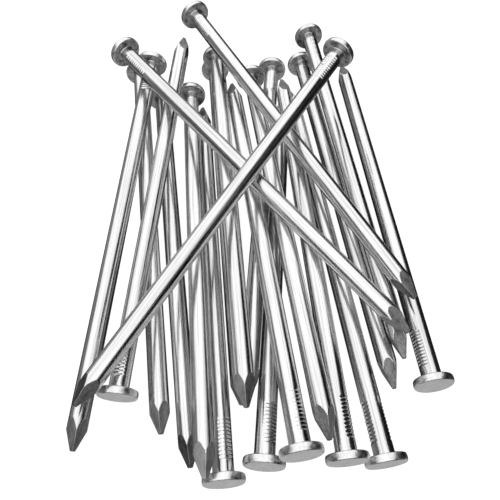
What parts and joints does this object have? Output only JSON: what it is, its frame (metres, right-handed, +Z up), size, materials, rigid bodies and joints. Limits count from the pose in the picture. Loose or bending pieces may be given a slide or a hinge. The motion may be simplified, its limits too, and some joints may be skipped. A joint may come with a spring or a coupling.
{
  "type": "wire nails, loose heap",
  "caption": "Loose heap of long bright round-wire nails with flat heads, grip marks below the head and diamond points, crossing and lying on each other.",
  "frame": {"origin": "on the floor, under the middle of the heap's box", "axes": "+Z up; +Y away from the viewer, along most of the nails; +X to the viewer's right"},
  "size_m": [0.0762, 0.1232, 0.0282],
  "materials": {
    "nail_steel": "bright drawn wire: polished along its length with fine drawing lines, satin on the forged head and the sheared point"
  },
  "bodies": {
    "back_nail_1": {"back_nail_1": "nail_steel"},
    "back_nail_10": {"back_nail_10": "nail_steel"},
    "back_nail_2": {"back_nail_2": "nail_steel"},
    "back_nail_3": {"back_nail_3": "nail_steel"},
    "back_nail_4": {"back_nail_4": "nail_steel"},
    "back_nail_5": {"back_nail_5": "nail_steel"},
    "back_nail_6": {"back_nail_6": "nail_steel"},
    "back_nail_7": {"back_nail_7": "nail_steel"},
    "back_nail_8": {"back_nail_8": "nail_steel"},
    "back_nail_9": {"back_nail_9": "nail_steel"},
    "front_nail_1": {"front_nail_1": "nail_steel"},
    "front_nail_2": {"front_nail_2": "nail_steel"},
    "front_nail_3": {"front_nail_3": "nail_steel"},
    "front_nail_4": {"front_nail_4": "nail_steel"},
    "front_nail_5": {"front_nail_5": "nail_steel"},
    "front_nail_6": {"front_nail_6": "nail_steel"},
    "front_nail_7": {"front_nail_7": "nail_steel"},
    "top_nail_1": {"top_nail_1": "nail_steel"},
    "top_nail_2": {"top_nail_2": "nail_steel"},
    "top_nail_3": {"top_nail_3": "nail_steel"}
  },
  "joints": [
    {"name": "back_nail_1_spin", "type": "hinge", "parent": "back_nail_4", "child": "back_nail_1", "pos_m": [-0.03224, -0.00543, 0.00753], "axis": [-0.0693, -0.9909, -0.1154], "continuous": true},
    {"name": "back_nail_10_spin", "type": "hinge", "parent": "back_nail_4", "child": "back_nail_10", "pos_m": [0.00076, 0.00357, 0.00501], "axis": [-0.0697, -0.9974, 0.0203], "continuous": true},
    {"name": "back_nail_2_draw_out", "type": "slide", "parent": "back_nail_4", "child": "back_nail_2", "axis": [-0.1389, 0.9884, 0.0618], "range_m": [0, 0.1]},
    {"name": "back_nail_3_spin", "type": "hinge", "parent": "back_nail_4", "child": "back_nail_3", "pos_m": [-0.02024, -0.00843, 0.00299], "axis": [0.1391, -0.9901, -0.0207], "continuous": true},
    {"name": "back_nail_5_draw_out", "type": "slide", "parent": "back_nail_4", "child": "back_nail_5", "axis": [-0.0871, 0.996, 0.0207], "range_m": [0, 0.1]},
    {"name": "back_nail_6_spin", "type": "hinge", "parent": "back_nail_4", "child": "back_nail_6", "pos_m": [-0.00724, 0.00057, 0.01025], "axis": [0.0872, -0.9962, -0.0018], "continuous": true},
    {"name": "back_nail_7_spin", "type": "hinge", "parent": "back_nail_4", "child": "back_nail_7", "pos_m": [0.00476, -0.00543, 0.00932], "axis": [0.1392, -0.9902, 0.0147], "continuous": true},
    {"name": "back_nail_8_spin", "type": "hinge", "parent": "back_nail_4", "child": "back_nail_8", "pos_m": [0.01976, 0.00657, 0.00299], "axis": [0.1391, -0.9901, -0.0207], "continuous": true},
    {"name": "back_nail_9_draw_out", "type": "slide", "parent": "back_nail_4", "child": "back_nail_9", "axis": [-0.139, 0.9892, 0.0459], "range_m": [0, 0.1]},
    {"name": "front_nail_1_spin", "type": "hinge", "parent": "back_nail_4", "child": "front_nail_1", "pos_m": [-0.02424, 0.00357, 0.00988], "axis": [0.0695, 0.9943, 0.0813], "continuous": true},
    {"name": "front_nail_2_draw_out", "type": "slide", "parent": "back_nail_4", "child": "front_nail_2", "axis": [0.0871, -0.996, 0.0207], "range_m": [0, 0.1]},
    {"name": "front_nail_3_spin", "type": "hinge", "parent": "back_nail_4", "child": "front_nail_3", "pos_m": [0.00376, -0.00843, 0.00299], "axis": [0.0697, 0.9973, -0.0207], "continuous": true},
    {"name": "front_nail_4_draw_out", "type": "slide", "parent": "back_nail_4", "child": "front_nail_4", "axis": [0.1391, -0.9899, 0.0273], "range_m": [0, 0.1]},
    {"name": "front_nail_5_draw_out", "type": "slide", "parent": "back_nail_4", "child": "front_nail_5", "axis": [0.0871, -0.996, -0.0215], "range_m": [0, 0.1]},
    {"name": "front_nail_6_spin", "type": "hinge", "parent": "back_nail_4", "child": "front_nail_6", "pos_m": [0.01576, -0.00843, 0.00489], "axis": [-0.1392, 0.9901, 0.018], "continuous": true},
    {"name": "front_nail_7_draw_out", "type": "slide", "parent": "back_nail_4", "child": "front_nail_7", "axis": [0.0871, -0.996, 0.0207], "range_m": [0, 0.1]},
    {"name": "top_nail_1_draw_out", "type": "slide", "parent": "back_nail_4", "child": "top_nail_1", "axis": [-0.6407, 0.7636, 0.0805], "range_m": [0, 0.1]},
    {"name": "top_nail_2_draw_out", "type": "slide", "parent": "back_nail_4", "child": "top_nail_2", "axis": [-0.4984, 0.8633, 0.0798], "range_m": [0, 0.1]},
    {"name": "top_nail_3_lift", "type": "slide", "parent": "back_nail_4", "child": "top_nail_3", "axis": [0, 0, 1], "range_m": [0, 0.06]}
  ]
}
